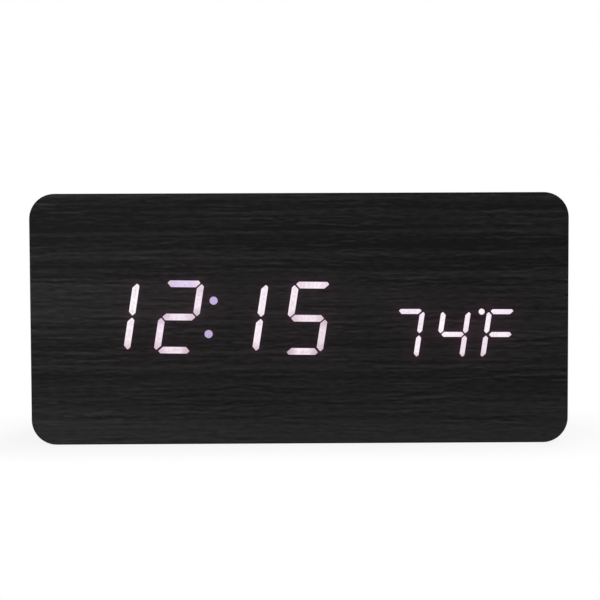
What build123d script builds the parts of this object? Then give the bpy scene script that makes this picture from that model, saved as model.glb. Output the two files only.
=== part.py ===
from build123d import *
import os
from collections import namedtuple
from math import cos, pi, radians, sin, sqrt, tan

# Desk clock: a wrapped fibreboard case with the time and the temperature shining through its front.
# Frame: +X to the right as seen from the front, +Y from the front to the back, +Z up.
# The origin is the middle of the flat base. Lengths are in millimetres and angles in degrees.

# Case
case_width = 150.0
case_height = 70.0
case_depth = 45.0
corner_radius = 7.0
veneer_thickness = 0.5
veneer_edge_share = 0.8  # of the veneer's thickness, rounded off around the front
panel_thickness = 3.0
rim_width = 3.3  # fibreboard that shows around the rear cover
cover_seat_width = 2.7  # step that carries the rear cover's edge
boss_size = 9.0  # square corner posts that take the cover screws
pocket_clearance = 0.5  # around what is let into the case

# Rear cover
cover_thickness = 2.5
cover_recess = 1.5  # from the rear rim down to the cover
cover_clearance = 0.2
cover_edge_round = 0.4

# Display, as it is set out on the front face
slant_angle = 8.1
time_place_shares = (-0.1646, 0.5073)  # middle of the time, in shares of the case's width and height
time_lean_angle = -0.83  # the row sits a little clockwise of level
time_half_height = 9.26  # between the middles of two neighbouring level bars
time_digit_width = 9.43
time_pitch = 17.9
time_stroke = 1.84
time_gap = 0.28  # from where two bars' middle lines meet to the tip of each bar
time_top_trim = 0.08  # further gap of the level bars at the top, and at the base
time_low_trim = 0.32
time_middle_trim = 0.17  # further gap of the uprights at half height, taken from the middle bar's gap
time_middle_shift_share = 0.2
time_bar_round = 0.24
temperature_place_shares = (0.2842, 0.435)  # middle of the temperature, likewise
temperature_lean_angle = -0.4
temperature_half_height = 6.37
temperature_digit_width = 6.9
temperature_pitch = 12.8
temperature_stroke = 1.37
temperature_gap = 0.28
temperature_top_trim = 0.18
temperature_low_trim = 0.28
temperature_middle_trim = 0.0
temperature_middle_shift_share = 0.0
temperature_bar_round = 0.2
tip_shift_share = 0.27  # how far a corner's tip lies from the middle of the bar to its outer side
free_bar_shift = 0.5  # the middle bar of a character without uprights at its right lies further right
colon_rise = 4.66
colon_diameter = 2.24
degree_dot_gap = 2.2  # from the third character's upper left corner
degree_dot_diameter = 1.66
time_bars = ("BCadefg", "ABDEGcf", "BCadefg", "ACDFGbe")  # each character's bars: the capitals are lit
temperature_bars = ("ABCdefg", "BCFGade", "AEFGd")

# Reflectors and boards
reflector_depth = 8.0
reflector_margin = 1.5
board_thickness = 1.6
board_clearance = 0.6
time_led_length = 2.0
time_led_width = 1.25
time_led_height = 0.8
temperature_led_length = 1.6
temperature_led_width = 0.8
temperature_led_height = 0.6

# Control board behind the rear cover
control_width = 36.0
control_height = 38.0
control_margin = 0.75  # from the corner posts
post_diameter = 5.0
post_inset = 3.5

# Push buttons and the switches under them
button_diameter = 6.6
button_flange_diameter = 8.6
button_flange_thickness = 0.9
button_proud = 1.2
button_edge_round = 0.5
button_clearance = 0.25
button_gap = 0.1  # flange to cover
button_pitch = 10.5
button_rise = 8.5
mark_size = 2.6
mark_depth = 0.3
mark_line = 0.55
switch_size = 6.0
switch_height = 3.5
plunger_diameter = 3.5
plunger_proud = 1.5
plunger_clearance = 0.1
plunger_depth = 1.4
press_travel = 0.4

# Power socket
socket_width = 7.6
socket_height = 2.9
socket_wall = 0.3
socket_chamfer = 0.8
socket_setback = 0.4
socket_clearance = 0.3
socket_drop = 9.0
tongue_width = 3.8
tongue_thickness = 0.65
tongue_setback = 1.1
tongue_base = 2.4

# Buzzer and temperature sensor on the control board, and the openings in front of them
buzzer_diameter = 8.5
buzzer_height = 4.2
buzzer_hole_diameter = 1.8
buzzer_hole_depth = 1.0
buzzer_offset = 11.0
sound_hole_diameter = 1.3
sound_ring_radius = 2.7
sound_hole_count = 6
sensor_diameter = 2.2
sensor_lead_diameter = 0.5
sensor_lead_length = 3.0
sensor_lead_pitch = 1.2
vent_length = 7.0
vent_width = 1.3
vent_pitch = 2.8
vent_count = 4

# Batteries and their box
cell_diameter = 10.5
cell_length = 44.5
nub_diameter = 3.8
nub_height = 1.0
cell_edge_round = 0.5
cell_pitch = 11.0
cell_count = 3
cell_side_room = 0.5
cell_floor_room = 0.3
cell_roof_room = 0.8  # cells to the inner face of the rear cover
spring_room = 5.2
box_wall = 1.6
box_margin = 0.75  # from the corner posts
rib_width = 2.0
rib_height = 2.0
contact_thickness = 0.4
contact_width = 7.4
contact_reach = 7.4
tail_width = 2.4
tail_length = 3.2
tail_clearance = 0.15
spring_wire = 0.6
spring_base_radius = 2.6
spring_tip_radius = 1.6
spring_bend = 0.7  # from the straight ends into the turns
spring_quarter_count = 10

# Battery door
door_thickness = 1.5
door_ledge = 2.0
door_clearance = 0.25
door_gap = 0.1
door_edge_round = 0.3
hook_reach = 1.8
hook_room = 0.5  # beyond the hooks, inside the box
hook_thickness = 1.1
hook_width = 3.4
hook_gap = 0.25
latch_width = 8.0
latch_length = 9.0
latch_slit = 0.8
latch_leg_thickness = 1.2
latch_leg_depth = 1.8
grip_count = 4
grip_width = 0.6
grip_pitch = 1.5
grip_depth = 0.35

# Leads, ribbon and small parts
lead_diameter = 1.2
lead_bend_share = 0.45
lead_inset = 4.0
ribbon_width = 12.7
ribbon_thickness = 0.9
ribbon_rise = 10.0
ribbon_bend_share = 0.8
ribbon_socket_width = 17.0
ribbon_socket_depth = 5.0
ribbon_socket_height = 5.2
clock_chip_side = 10.0
clock_chip_height = 1.4
driver_chip_length = 13.0
driver_chip_width = 7.6
driver_chip_height = 2.2
driver_chip_count = 2
driver_chip_pitch = 18.0
crystal_diameter = 3.0
crystal_length = 8.2
capacitor_diameter = 6.3
capacitor_height = 8.0
part_pitch = 16.0  # between neighbouring parts on the display board
part_drop = 16.5

# Screws
cover_screw_diameter = 2.9
cover_screw_length = 11.0
cover_screw_head_diameter = 5.2
cover_screw_head_height = 1.3
cover_screw_slot = 0.9
board_screw_diameter = 2.2
board_screw_length = 6.0
board_screw_head_diameter = 4.0
board_screw_head_height = 1.4
board_screw_slot = 0.7
screw_slot_share = 0.6  # of the head's height
screw_clearance = 0.08
screw_head_room = 0.4
screw_point_share = 0.2
board_screw_inset = 3.5

cut_overrun = 1.0  # how far a cut runs past the face that it opens

# Depths, from the front face to the back
front_y = -case_depth / 2
rear_y = case_depth / 2
veneer_back_y = front_y + veneer_thickness
panel_back_y = veneer_back_y + panel_thickness
board_front_y = panel_back_y + reflector_depth
board_back_y = board_front_y + board_thickness
cover_outer_y = rear_y - cover_recess
cover_inner_y = cover_outer_y - cover_thickness
whole_cover = (cover_inner_y, cover_outer_y)
post_height = button_gap + button_flange_thickness + plunger_proud + switch_height
control_back_y = cover_inner_y - post_height
control_front_y = control_back_y - board_thickness

# Places across the case
middle_z = case_height / 2
pocket_half_x = case_width / 2 - veneer_thickness - rim_width - cover_seat_width
pocket_half_z = middle_z - veneer_thickness - rim_width - cover_seat_width
boss_x = pocket_half_x - boss_size / 2
boss_z = pocket_half_z - boss_size / 2
time_centre = (case_width * time_place_shares[0], case_height * time_place_shares[1])
temperature_centre = (case_width * temperature_place_shares[0], case_height * temperature_place_shares[1])
control_x = -(pocket_half_x - boss_size - control_margin - control_width / 2)
button_places = [(control_x + step * button_pitch, middle_z + button_rise) for step in (1, 0, -1)]
socket_z = middle_z - socket_drop
buzzer_x = control_x + buzzer_offset
sensor_x = control_x - buzzer_offset

# Inside of the battery box
box_length = cell_length + spring_room + 2 * contact_thickness
box_height = (cell_count - 1) * cell_pitch + cell_diameter + 2 * cell_side_room
box_x = (pocket_half_x - boss_size - box_margin - box_wall - box_length,
         pocket_half_x - boss_size - box_margin - box_wall)
box_z = (middle_z - box_height / 2, middle_z + box_height / 2)
cell_y = cover_inner_y - cell_roof_room - cell_diameter / 2
floor_y = cell_y - cell_diameter / 2 - cell_floor_room
floor_front_y = floor_y - box_wall
cell_zs = [middle_z + cell_pitch * (row - (cell_count - 1) / 2) for row in range(cell_count)]

# Doorway in the rear cover: the door's hooks hold at its high X end, and its latch at the low X end
doorway_x = (box_x[0], box_x[1] - hook_reach - hook_room)
doorway_z = box_z

parts = {}


def around(centre, size):
    """The (low, high) range of a size about its centre."""
    return centre - size / 2, centre + size / 2


def block(x, y, z):
    """A box between three (low, high) ranges."""
    ranges = (x, y, z)
    middle = [(low + high) / 2 for low, high in ranges]
    return Pos(*middle) * Box(*[high - low for low, high in ranges])


def prism(outline, y):
    """An outline drawn in X and Z, made solid between two depths."""
    plane = Plane((0, y[1], 0), x_dir=(1, 0, 0), z_dir=(0, -1, 0))
    return extrude(plane * outline, y[1] - y[0])


def rod(diameter, x, y, z):
    """A round bar along Y between two depths."""
    return prism(Pos(x, z) * Circle(diameter / 2), y)


def rounded(width, height, radius):
    """A rounded rectangle about the middle of the case."""
    return Pos(0, middle_z) * RectangleRounded(width, height, radius)


def four_corners(x, z):
    """The four places at equal distances from the middle of the case."""
    return [(side * x, middle_z + up * z) for side in (-1, 1) for up in (-1, 1)]


Screw = namedtuple("Screw", "diameter length head_diameter head_height slot")
cover_screw = Screw(cover_screw_diameter, cover_screw_length, cover_screw_head_diameter,
                    cover_screw_head_height, cover_screw_slot)
board_screw = Screw(board_screw_diameter, board_screw_length, board_screw_head_diameter,
                    board_screw_head_height, board_screw_slot)


def screw(kind, x, seat_y, z, way):
    """A cross-head screw whose head stands on seat_y, towards way along Y."""
    head_y = seat_y + way * kind.head_height
    head = rod(kind.head_diameter, x, sorted((seat_y, head_y)), z)
    slot_y = sorted((head_y - way * kind.head_height * screw_slot_share, head_y))
    for width, height in ((kind.diameter, kind.slot), (kind.slot, kind.diameter)):
        head -= block(around(x, width), slot_y, around(z, height))
    point = kind.length * screw_point_share
    shank_end = seat_y - way * (kind.length - point)
    shank = rod(kind.diameter, x, sorted((seat_y, shank_end)), z)
    plane = Plane((x, shank_end, z), x_dir=(1, 0, 0), z_dir=(0, -way, 0))
    tip = plane * Pos(0, 0, point / 2) * Cone(kind.diameter / 2, kind.slot / 2, point)
    return head + shank + tip


def screws(kind, places, seat_y, way):
    """Like screws at several places."""
    return [screw(kind, x, seat_y, z, way) for x, z in places]


def screw_hole(kind, x, seat_y, z, way, depth):
    """The pilot hole of a screw, with its clearance."""
    end_y = seat_y - way * depth
    return rod(kind.diameter + 2 * screw_clearance, x, sorted((seat_y, end_y)), z)


def keep(name, *shapes):
    """Stores a sub-part as one or more solids."""
    parts[name] = [solid for shape in shapes for solid in shape.solids()]


# Seven-segment figures

Figure = namedtuple("Figure", "half_height width pitch lean stroke gap top_trim low_trim "
                              "middle_trim middle_shift_share round led_length led_width led_height")
time_figure = Figure(time_half_height, time_digit_width, time_pitch, time_lean_angle,
                     time_stroke, time_gap, time_top_trim, time_low_trim,
                     time_middle_trim, time_middle_shift_share, time_bar_round,
                     time_led_length, time_led_width, time_led_height)
temperature_figure = Figure(temperature_half_height, temperature_digit_width, temperature_pitch,
                            temperature_lean_angle, temperature_stroke, temperature_gap,
                            temperature_top_trim, temperature_low_trim,
                            temperature_middle_trim, temperature_middle_shift_share, temperature_bar_round,
                            temperature_led_length, temperature_led_width, temperature_led_height)
JUNCTIONS = {"TL": (-1, 1), "TR": (1, 1), "ML": (-1, 0), "MR": (1, 0), "BL": (-1, -1), "BR": (1, -1)}
BARS = {
    "a": ("TL", "TR", (0, 1)),
    "b": ("TR", "MR", (1, 0)),
    "c": ("MR", "BR", (1, 0)),
    "d": ("BL", "BR", (0, -1)),
    "e": ("ML", "BL", (-1, 0)),
    "f": ("TL", "ML", (-1, 0)),
    "g": ("ML", "MR", (0, 1)),
}


def junction(name, figure):
    """Where two bars' middle lines meet, before slanting."""
    side, up = JUNCTIONS[name]
    return Vector(side * figure.width / 2, up * figure.half_height)


def slanted(point):
    """A point of a figure, leaned to the right with its height."""
    return Vector(point.X + point.Y * tan(radians(slant_angle)), point.Y)


def bar_end(name, figure, inward, out):
    """Inner corner, tip and outer corner of a bar's end. The tip lies nearer to the figure's outer side."""
    half = figure.stroke / 2
    up = JUNCTIONS[name][1]
    upright = out.Y == 0
    if up:
        shift = half * tip_shift_share
        level_trim = figure.top_trim if up > 0 else figure.low_trim
        gap = figure.gap + (0 if upright else level_trim)
    else:
        shift = half * figure.middle_shift_share if upright else 0
        gap = figure.gap + figure.middle_trim * (1 if upright else -1)
    place = junction(name, figure)
    return [place + inward * (gap + half) - out * half,
            place + inward * (gap - shift) + out * shift,
            place + inward * (gap + half - 2 * shift) + out * half]


def bar(letter, figure):
    """The outline of one bar."""
    first, last, out = BARS[letter]
    along = (junction(last, figure) - junction(first, figure)).normalized()
    out = Vector(*out)
    corners = bar_end(first, figure, along, out) + bar_end(last, figure, along * -1, out)[::-1]
    outline = make_face(Polyline(*[slanted(corner) for corner in corners], close=True))
    return fillet(outline.vertices(), figure.round)


def row_places(figure, count, centre):
    """The places of a row of figures about its centre."""
    turned = Pos(*centre) * Rot(Z=figure.lean)
    return [turned * Pos(figure.pitch * (index - (count - 1) / 2), 0) for index in range(count)]


def bar_place(letter, letters):
    """Where a bar lies in a character that has these bars."""
    free = letter in "Gg" and "b" not in letters.lower()
    return Pos(free_bar_shift if free else 0, 0)


def row_bars(figure, characters, centre):
    """Outlines of a row's bars: those that are lit, and those that are dark."""
    shown, dark = [], []
    for letters, place in zip(characters, row_places(figure, len(characters), centre)):
        for letter in letters:
            outline = place * bar_place(letter, letters) * bar(letter.lower(), figure)
            (shown if letter.isupper() else dark).append(outline)
    return shown, dark


def row_leds(figure, characters, centre):
    """Outlines of one LED at the middle of each bar."""
    led = Rectangle(figure.led_length, figure.led_width)
    outlines = []
    for letters, place in zip(characters, row_places(figure, len(characters), centre)):
        for letter in letters:
            first, last, out = BARS[letter.lower()]
            middle = slanted((junction(first, figure) + junction(last, figure)) / 2)
            angle = 0 if out[1] else 90 - slant_angle
            turned_led = Pos(middle.X, middle.Y) * Rot(Z=angle) * led
            outlines.append(place * bar_place(letter, letters) * turned_led)
    return outlines


def row_block(figure, count, centre):
    """The outline of the reflector block behind a row of figures."""
    width = ((count - 1) * figure.pitch + figure.width + figure.stroke
             + 2 * figure.half_height * tan(radians(slant_angle)) + 2 * reflector_margin)
    height = 2 * figure.half_height + figure.stroke + 2 * reflector_margin
    return Pos(*centre) * Rot(Z=figure.lean) * Rectangle(width, height)


def colon_dots():
    """The two round dots between the hours and the minutes."""
    turned = Pos(*time_centre) * Rot(Z=time_figure.lean)
    points = [slanted(Vector(0, rise)) for rise in (colon_rise, -colon_rise)]
    return [turned * Pos(point.X, point.Y) * Circle(colon_diameter / 2) for point in points]


def degree_dot():
    """The round dot before the third character of the temperature."""
    place = row_places(temperature_figure, len(temperature_bars), temperature_centre)[-1]
    corner = slanted(junction("TL", temperature_figure))
    return place * Pos(corner.X - degree_dot_gap, corner.Y) * Circle(degree_dot_diameter / 2)


time_shown, time_dark = row_bars(time_figure, time_bars, time_centre)
temperature_shown, temperature_dark = row_bars(temperature_figure, temperature_bars, temperature_centre)
temperature_shown.append(degree_dot())
time_wells = time_shown + time_dark + colon_dots()
temperature_wells = temperature_shown + temperature_dark


def light_guides(outlines, y=(front_y, panel_back_y)):
    """Bars of clear resin that fill the panel's slots and end flush with the veneer."""
    return [prism(outline, y) for outline in outlines]


def make_light_guides():
    keep("time_light_guides_lit", *light_guides(time_shown))
    keep("time_light_guides_dark", *light_guides(time_dark))
    keep("colon_light_guides", *light_guides(colon_dots()))
    keep("temperature_light_guides_lit", *light_guides(temperature_shown))
    keep("temperature_light_guides_dark", *light_guides(temperature_dark))


def make_front():
    """The slotted panel and the veneer sheet glued over it."""
    inner = rounded(case_width - 2 * veneer_thickness, case_height - 2 * veneer_thickness,
                    corner_radius - veneer_thickness)
    slots = light_guides(time_wells + temperature_wells)
    keep("front_panel", prism(inner, (veneer_back_y, panel_back_y)) - slots)
    sheet = prism(rounded(case_width, case_height, corner_radius), (front_y, veneer_back_y))
    edge = sheet.faces().sort_by(Axis.Y)[0].edges()
    keep("front_veneer", fillet(edge, veneer_edge_share * veneer_thickness) - slots)


def make_display():
    """Reflector blocks with a well behind each bar, and the LEDs that stand in the wells."""
    depths = (panel_back_y, board_front_y)
    rows = (("time", time_figure, time_bars, time_centre, time_wells),
            ("temperature", temperature_figure, temperature_bars, temperature_centre, temperature_wells))
    for name, figure, characters, centre, wells in rows:
        reflector = prism(row_block(figure, len(characters), centre), depths)
        keep(f"{name}_reflector", reflector - light_guides(wells, depths))
        led_y = (board_front_y - figure.led_height, board_front_y)
        keep(f"{name}_leds", *[prism(outline, led_y) for outline in row_leds(figure, characters, centre)])


def display_pocket():
    """The room that the reflector blocks need in the case."""
    boxes = [parts[name][0].bounding_box() for name in ("time_reflector", "temperature_reflector")]
    low_x = min(box.min.X for box in boxes) - pocket_clearance
    high_x = max(box.max.X for box in boxes) + pocket_clearance
    low_z = min(box.min.Z for box in boxes) - pocket_clearance
    high_z = max(box.max.Z for box in boxes) + pocket_clearance
    return block((low_x, high_x), (panel_back_y, board_front_y), (low_z, high_z))


def board_screw_places():
    """The places of the display board's screws, inside the corner posts."""
    return four_corners(pocket_half_x - boss_size - board_screw_inset - board_clearance,
                        pocket_half_z - board_clearance - board_screw_inset)


def make_case():
    """The routed fibreboard tube and the veneer wrapped around it."""
    outer = rounded(case_width, case_height, corner_radius)
    core = rounded(case_width - 2 * veneer_thickness, case_height - 2 * veneer_thickness,
                   corner_radius - veneer_thickness)
    keep("wrap_veneer", prism(outer - core, (veneer_back_y, rear_y)))
    case = prism(core, (panel_back_y, rear_y)) - display_pocket()
    case -= block((-pocket_half_x, pocket_half_x), (board_front_y, cover_inner_y),
                  (middle_z - pocket_half_z, middle_z + pocket_half_z))
    for x, z in four_corners(boss_x, boss_z):
        boss = block(around(x, boss_size), (board_front_y, cover_inner_y), around(z, boss_size))
        case += boss
        case -= screw_hole(cover_screw, x, cover_inner_y, z, 1, cover_screw.length)
    rebate = rounded(2 * (pocket_half_x + cover_seat_width), 2 * (pocket_half_z + cover_seat_width),
                     corner_radius - veneer_thickness - rim_width)
    case -= prism(rebate, (cover_inner_y, rear_y + cut_overrun))
    for x, z in board_screw_places():
        case -= screw_hole(board_screw, x, board_front_y, z, 1, board_screw.length)
    keep("wood_case", case)


def make_display_board():
    """The board that carries the display, notched around the corner posts, and its screws."""
    half_x = pocket_half_x - board_clearance
    half_z = pocket_half_z - board_clearance
    depths = (board_front_y, board_back_y)
    board = block((-half_x, half_x), depths, (middle_z - half_z, middle_z + half_z))
    notch = boss_size + 2 * board_clearance
    for x, z in four_corners(boss_x, boss_z):
        board -= block(around(x, notch), depths, around(z, notch))
    for x, z in board_screw_places():
        board -= screw_hole(board_screw, x, board_back_y, z, 1, board_thickness)
    keep("display_board", board)
    keep("display_board_screws", *screws(board_screw, board_screw_places(), board_back_y, 1))


def make_display_parts():
    """What stands on the back of the display board: chips, a quartz crystal and a capacitor."""
    chip_y = (board_back_y, board_back_y + clock_chip_height)
    keep("clock_chip", block(around(0, clock_chip_side), chip_y, around(middle_z, clock_chip_side)))
    driver_y = (board_back_y, board_back_y + driver_chip_height)
    drivers = []
    for index in range(driver_chip_count):
        driver_x = around(part_pitch + index * driver_chip_pitch, driver_chip_length)
        drivers.append(block(driver_x, driver_y, around(middle_z, driver_chip_width)))
    keep("driver_chips", *drivers)
    low_z = middle_z - part_drop
    crystal = Rot(Y=90) * Cylinder(crystal_diameter / 2, crystal_length)
    keep("quartz_crystal", Pos(0, board_back_y + crystal_diameter / 2, low_z) * crystal)
    capacitor_y = (board_back_y, board_back_y + capacitor_height)
    keep("smoothing_capacitor", rod(capacitor_diameter, -part_pitch, capacitor_y, low_z))


def control_posts():
    """The places of the posts that hold the control board."""
    x, z = control_width / 2 - post_inset, control_height / 2 - post_inset
    return [(control_x + side * x, middle_z + up * z) for side in (-1, 1) for up in (-1, 1)]


def socket_outline(grow):
    """The socket's mouth: a rectangle with its two lower corners cut off."""
    width, height = socket_width + 2 * grow, socket_height + 2 * grow
    outline = Rectangle(width, height)
    lower = outline.vertices().sort_by(Axis.Y)[:2]
    return Pos(control_x, socket_z) * chamfer(lower, socket_chamfer)


def make_control_board():
    """The small board behind the rear cover, with its switches, power socket, buzzer and sensor."""
    depths = (control_front_y, control_back_y)
    board = block(around(control_x, control_width), depths, around(middle_z, control_height))
    for x, z in control_posts():
        board -= screw_hole(board_screw, x, control_front_y, z, -1, board_thickness)
    keep("control_board", board)
    keep("control_board_screws", *screws(board_screw, control_posts(), control_front_y, -1))

    switch_top = control_back_y + switch_height
    bodies = []
    for x, z in button_places:
        body = block(around(x, switch_size), (control_back_y, switch_top), around(z, switch_size))
        bore = rod(plunger_diameter + 2 * plunger_clearance, x,
                   (switch_top - plunger_depth - 2 * press_travel, switch_top), z)
        bodies.append(body - bore)
    keep("tact_switch_bodies", *bodies)

    mouth_y = cover_outer_y - socket_setback
    hollow = socket_outline(-socket_wall)
    keep("power_socket", prism(socket_outline(0) - hollow, (control_back_y, mouth_y)))
    base = prism(hollow, (control_back_y, control_back_y + tongue_base))
    tongue = block(around(control_x, tongue_width), (control_back_y, mouth_y - tongue_setback),
                   around(socket_z, tongue_thickness))
    keep("socket_tongue", base + tongue)

    top = control_back_y + buzzer_height
    keep("buzzer", rod(buzzer_diameter, buzzer_x, (control_back_y, top), socket_z)
         - rod(buzzer_hole_diameter, buzzer_x, (top - buzzer_hole_depth, top), socket_z))

    bead_y = control_back_y + sensor_lead_length + sensor_diameter / 2
    sensor = Pos(sensor_x, bead_y, socket_z) * Sphere(sensor_diameter / 2)
    for lead_x in around(sensor_x, sensor_lead_pitch):
        sensor += rod(sensor_lead_diameter, lead_x, (control_back_y, bead_y), socket_z)
    keep("temperature_sensor", sensor)


def triangle_mark(way):
    """An arrow head that points up or down."""
    half = mark_size / 2
    return make_face(Polyline((-half, -way * half), (half, -way * half), (0, way * half), close=True))


def ring_mark():
    """A plain ring."""
    return Circle(mark_size / 2) - Circle(mark_size / 2 - mark_line)


def make_buttons():
    """Three push buttons, held behind the cover by their flanges, and the switch plungers under them."""
    flange_y = (cover_inner_y - button_gap - button_flange_thickness, cover_inner_y - button_gap)
    top_y = cover_outer_y + button_proud
    marks = (("set", ring_mark()), ("up", triangle_mark(1)), ("down", triangle_mark(-1)))
    for (x, z), (name, mark) in zip(button_places, marks):
        stem = rod(button_diameter, x, (flange_y[1], top_y), z)
        stem = fillet(stem.edges().sort_by(Axis.Y)[-1], button_edge_round)
        cap = stem + rod(button_flange_diameter, x, flange_y, z)
        cap -= prism(Pos(x, z) * mark, (top_y - mark_depth, top_y + cut_overrun))
        keep(f"{name}_button", cap)
        switch_top = control_back_y + switch_height
        keep(f"{name}_plunger", rod(plunger_diameter, x, (switch_top - plunger_depth, flange_y[0]), z))


def sound_holes():
    """A ring of round holes in front of the buzzer, with one in its middle."""
    holes = [rod(sound_hole_diameter, buzzer_x, whole_cover, socket_z)]
    for index in range(sound_hole_count):
        angle = 2 * pi * index / sound_hole_count
        x = buzzer_x + sound_ring_radius * cos(angle)
        holes.append(rod(sound_hole_diameter, x, whole_cover, socket_z + sound_ring_radius * sin(angle)))
    return holes


def vents():
    """Upright slots in front of the temperature sensor."""
    slots = []
    for index in range(vent_count):
        x = sensor_x + vent_pitch * (index - (vent_count - 1) / 2)
        slot = Pos(x, socket_z) * Rot(Z=90) * SlotOverall(vent_length, vent_width)
        slots.append(prism(slot, whole_cover))
    return slots


def make_rear_cover():
    """The plate that closes the back, with the posts behind it, and its four screws."""
    half_x = pocket_half_x + cover_seat_width - cover_clearance
    half_z = pocket_half_z + cover_seat_width - cover_clearance
    radius = corner_radius - veneer_thickness - rim_width - cover_clearance
    cover = prism(rounded(2 * half_x, 2 * half_z, radius), whole_cover)
    cover = fillet(cover.faces().sort_by(Axis.Y)[-1].edges(), cover_edge_round)
    seat_y = cover_outer_y - cover_screw.head_height - screw_head_room / 2
    for x, z in four_corners(boss_x, boss_z):
        cover -= rod(cover_screw.diameter + 2 * screw_clearance, x, whole_cover, z)
        cover -= rod(cover_screw.head_diameter + screw_head_room, x, (seat_y, cover_outer_y), z)
    cover -= block(doorway_x, whole_cover, doorway_z)
    rebate_y = (cover_outer_y - door_thickness - door_gap, cover_outer_y)
    cover -= block((doorway_x[0] - door_ledge, doorway_x[1]), rebate_y,
                   (doorway_z[0] - door_ledge, doorway_z[1] + door_ledge))
    for x, z in button_places:
        cover -= rod(button_diameter + 2 * button_clearance, x, whole_cover, z)
    cover -= prism(socket_outline(socket_clearance), whole_cover)
    cover -= sound_holes() + vents()
    for x, z in control_posts():
        cover += rod(post_diameter, x, (control_back_y, cover_inner_y), z)
        cover -= screw_hole(board_screw, x, control_back_y, z, -1, board_screw.length - board_thickness)
    keep("rear_cover", cover)
    keep("rear_cover_screws", *screws(cover_screw, four_corners(boss_x, boss_z), seat_y, 1))


# Which way each cell's raised end points along X, from the lowest cell to the highest
cell_ways = [1 if row % 2 == 0 else -1 for row in range(cell_count)]


def end_wall(way):
    """The box wall that a cell's raised end faces, for the cell's way along X."""
    return box_x[1] if way > 0 else box_x[0]


def contact_tails():
    """Where the battery's two outputs pass through the floor of the box: (way of the end wall, height)."""
    return (cell_ways[-1], cell_zs[-1]), (-cell_ways[0], cell_zs[0])


def make_battery_box():
    """The open box behind the doorway, with ribs between the cells and slots for the output tails."""
    outer = block((box_x[0] - box_wall, box_x[1] + box_wall), (floor_front_y, cover_inner_y),
                  (box_z[0] - box_wall, box_z[1] + box_wall))
    box = outer - block(box_x, (floor_y, cover_inner_y), box_z)
    rib_x = around((box_x[0] + box_x[1]) / 2, cell_length)
    for low, high in zip(cell_zs, cell_zs[1:]):
        box += block(rib_x, (floor_y, floor_y + rib_height), around((low + high) / 2, rib_width))
    for way, z in contact_tails():
        plate_x = sorted((end_wall(way), end_wall(way) - way * (contact_thickness + tail_clearance)))
        box -= block(plate_x, (floor_front_y, floor_y), around(z, tail_width + 2 * tail_clearance))
    keep("battery_box", box)


def make_cells():
    """Three small round cells, side by side with their raised ends turned about."""
    cells = []
    for way, z in zip(cell_ways, cell_zs):
        nub_end = end_wall(way) - way * contact_thickness
        can_end = nub_end - way * nub_height
        can_length = cell_length - nub_height
        can = Rot(Y=90) * Cylinder(cell_diameter / 2, can_length)
        can = fillet(can.edges().filter_by(GeomType.CIRCLE), cell_edge_round)
        nub = Rot(Y=90) * Cylinder(nub_diameter / 2, nub_height)
        cells.append(Pos(can_end - way * can_length / 2, cell_y, z) * can
                     + Pos(nub_end - way * nub_height / 2, cell_y, z) * nub)
    keep("battery_cells", *cells)


def make_contacts():
    """Plates on the end walls. Each side's neighbours are joined in series, and two plates have tails."""
    depths = around(cell_y, contact_reach)
    plates = []
    for way in (-1, 1):
        x = sorted((end_wall(way), end_wall(way) - way * contact_thickness))
        rows = list(range(cell_count)) if way == -cell_ways[0] else list(range(cell_count))[::-1]
        single = block(x, depths, around(cell_zs[rows[0]], contact_width))
        tail = block(x, (floor_front_y - tail_length, cell_y), around(cell_zs[rows[0]], tail_width))
        plates.append(single + tail)
        for first, second in zip(rows[1::2], rows[2::2]):
            ends = sorted((cell_zs[first], cell_zs[second]))
            plates.append(block(x, depths, (ends[0] - contact_width / 2, ends[1] + contact_width / 2)))
    keep("battery_contacts", *plates)


def biarc(start, start_way, end, end_way):
    """Two arcs that leave start along start_way, meet smoothly and reach end along end_way."""
    chord = end - start
    both = start_way + end_way
    bend = 2 * (1 - start_way.dot(end_way))
    reach = (sqrt(chord.dot(both) ** 2 + bend * chord.dot(chord)) - chord.dot(both)) / bend
    first_knee = start + start_way * reach
    second_knee = end - end_way * reach
    joint = (first_knee + second_knee) / 2
    return [Edge.make_tangent_arc(start, start_way, joint),
            Edge.make_tangent_arc(joint, (second_knee - first_knee).normalized(), end)]


def spring_knot(quarter, base_x, way, z):
    """A point of a tapering spring and the wire's direction there, some quarter turns after the first."""
    share = quarter / spring_quarter_count
    whole_angle = spring_quarter_count * pi / 2
    angle = whole_angle * share
    run = spring_room - 2 * (spring_wire + spring_bend)
    taper = spring_tip_radius - spring_base_radius
    radius = spring_base_radius + taper * share
    along = spring_wire + spring_bend + run * share
    point = Vector(base_x + way * along, cell_y + radius * cos(angle), z + radius * sin(angle))
    course = Vector(way * run / whole_angle,
                    taper / whole_angle * cos(angle) - radius * sin(angle),
                    taper / whole_angle * sin(angle) + radius * cos(angle))
    return point, course.normalized()


def spring_path(base_x, way, z):
    """The wire of one spring: a straight foot, tapering turns in quarter-turn biarcs, a straight end."""
    axis = Vector(way, 0, 0)
    knots = [spring_knot(quarter, base_x, way, z) for quarter in range(spring_quarter_count + 1)]
    (first, first_course), (last, last_course) = knots[0], knots[-1]
    foot_top = first - (axis + Vector(0, first_course.Y, first_course.Z).normalized()) * spring_bend
    end_base = last + (axis + Vector(0, last_course.Y, last_course.Z).normalized()) * spring_bend
    knots = [(foot_top, axis)] + knots + [(end_base, axis)]
    edges = [Edge.make_line(foot_top - axis * spring_wire, foot_top)]
    for (start, start_way), (stop, stop_way) in zip(knots, knots[1:]):
        edges += biarc(start, start_way, stop, stop_way)
    edges.append(Edge.make_line(end_base, end_base + axis * spring_wire))
    return Wire(edges)


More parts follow.
